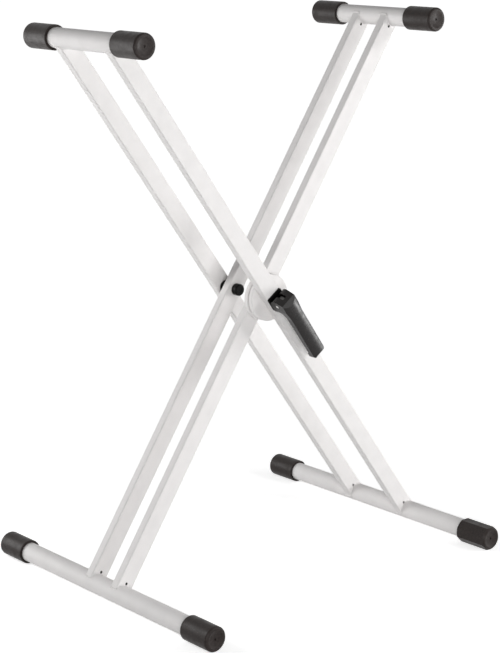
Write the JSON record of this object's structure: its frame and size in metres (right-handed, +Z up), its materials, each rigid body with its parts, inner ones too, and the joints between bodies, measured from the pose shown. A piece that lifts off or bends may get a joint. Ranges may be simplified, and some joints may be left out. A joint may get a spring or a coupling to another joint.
{
  "type": "folding keyboard stand",
  "caption": "Folding X-frame keyboard stand: nested pairs of coated steel legs on a central pivot, held at any height by a cam lever, with black end caps and a levelling foot.",
  "frame": {"origin": "on the floor, straight under the pivot, at the middle of the lower tubes", "axes": "+Z up, +Y along the pivot and the round tubes, away from the clamp lever, +X across the spread of the legs, towards the levelling foot"},
  "size_m": [0.6312, 0.54, 0.8879],
  "materials": {
    "powder_coat": "satin powder coat",
    "cap_plastic": "fine matt grain",
    "lever_plastic": "fine satin grain",
    "nylon": "moulded satin",
    "zinc_steel": "bright zinc plate",
    "spring_steel": "black oxide, oiled",
    "friction_lining": "pressed friction lining"
  },
  "bodies": {
    "outer_frame": {"outer_leg_near": "powder_coat", "outer_leg_far": "powder_coat", "outer_upper_tube": "powder_coat", "outer_lower_tube": "powder_coat", "outer_upper_cap_near": "cap_plastic", "outer_upper_cap_far": "cap_plastic", "outer_lower_cap_far": "cap_plastic", "outer_sleeve_near": "zinc_steel", "outer_sleeve_far": "zinc_steel", "outer_clamp_disc": "powder_coat", "cam_saddle": "nylon", "pivot_bolt": "zinc_steel", "pivot_spacer": "nylon", "pivot_washer": "zinc_steel", "pivot_nut": "zinc_steel", "nut_cap": "nylon"},
    "inner_frame": {"inner_leg_near": "powder_coat", "inner_leg_far": "powder_coat", "inner_upper_tube": "powder_coat", "inner_lower_tube": "powder_coat", "inner_upper_cap_near": "cap_plastic", "inner_upper_cap_far": "cap_plastic", "inner_lower_cap_near": "cap_plastic", "inner_lower_cap_far": "cap_plastic", "inner_sleeve_near": "zinc_steel", "inner_sleeve_far": "zinc_steel", "inner_clamp_disc": "powder_coat", "friction_ring": "friction_lining"},
    "tension_rod": {"tension_rod": "spring_steel", "rod_washer": "zinc_steel", "disc_spring": "spring_steel", "rod_nut": "zinc_steel"},
    "clamp_lever": {"clamp_lever": "lever_plastic", "lever_pin": "zinc_steel"},
    "levelling_cap": {"levelling_cap": "cap_plastic"}
  },
  "joints": [
    {"name": "frame_fold", "type": "hinge", "parent": "outer_frame", "child": "inner_frame", "pos_m": [0, 0, 0.44393], "axis": [0, 1, 0], "range_deg": [-64.8, 40]},
    {"name": "rod_slide", "type": "slide", "parent": "outer_frame", "child": "tension_rod", "axis": [0, 1, 0], "range_m": [0, 0.0016]},
    {"name": "lever_swing", "type": "hinge", "parent": "tension_rod", "child": "clamp_lever", "pos_m": [0, -0.0906, 0.44393], "axis": [-0.8202, 0, -0.5721], "range_deg": [0, 111]},
    {"name": "level_turn", "type": "hinge", "parent": "outer_frame", "child": "levelling_cap", "pos_m": [0.29608, -0.24, 0.0195], "axis": [0, 1, 0], "continuous": true}
  ],
  "couplings": [
    {"joint": "lever_swing", "follows": "rod_slide", "rad_per_m": 1199.9}
  ]
}
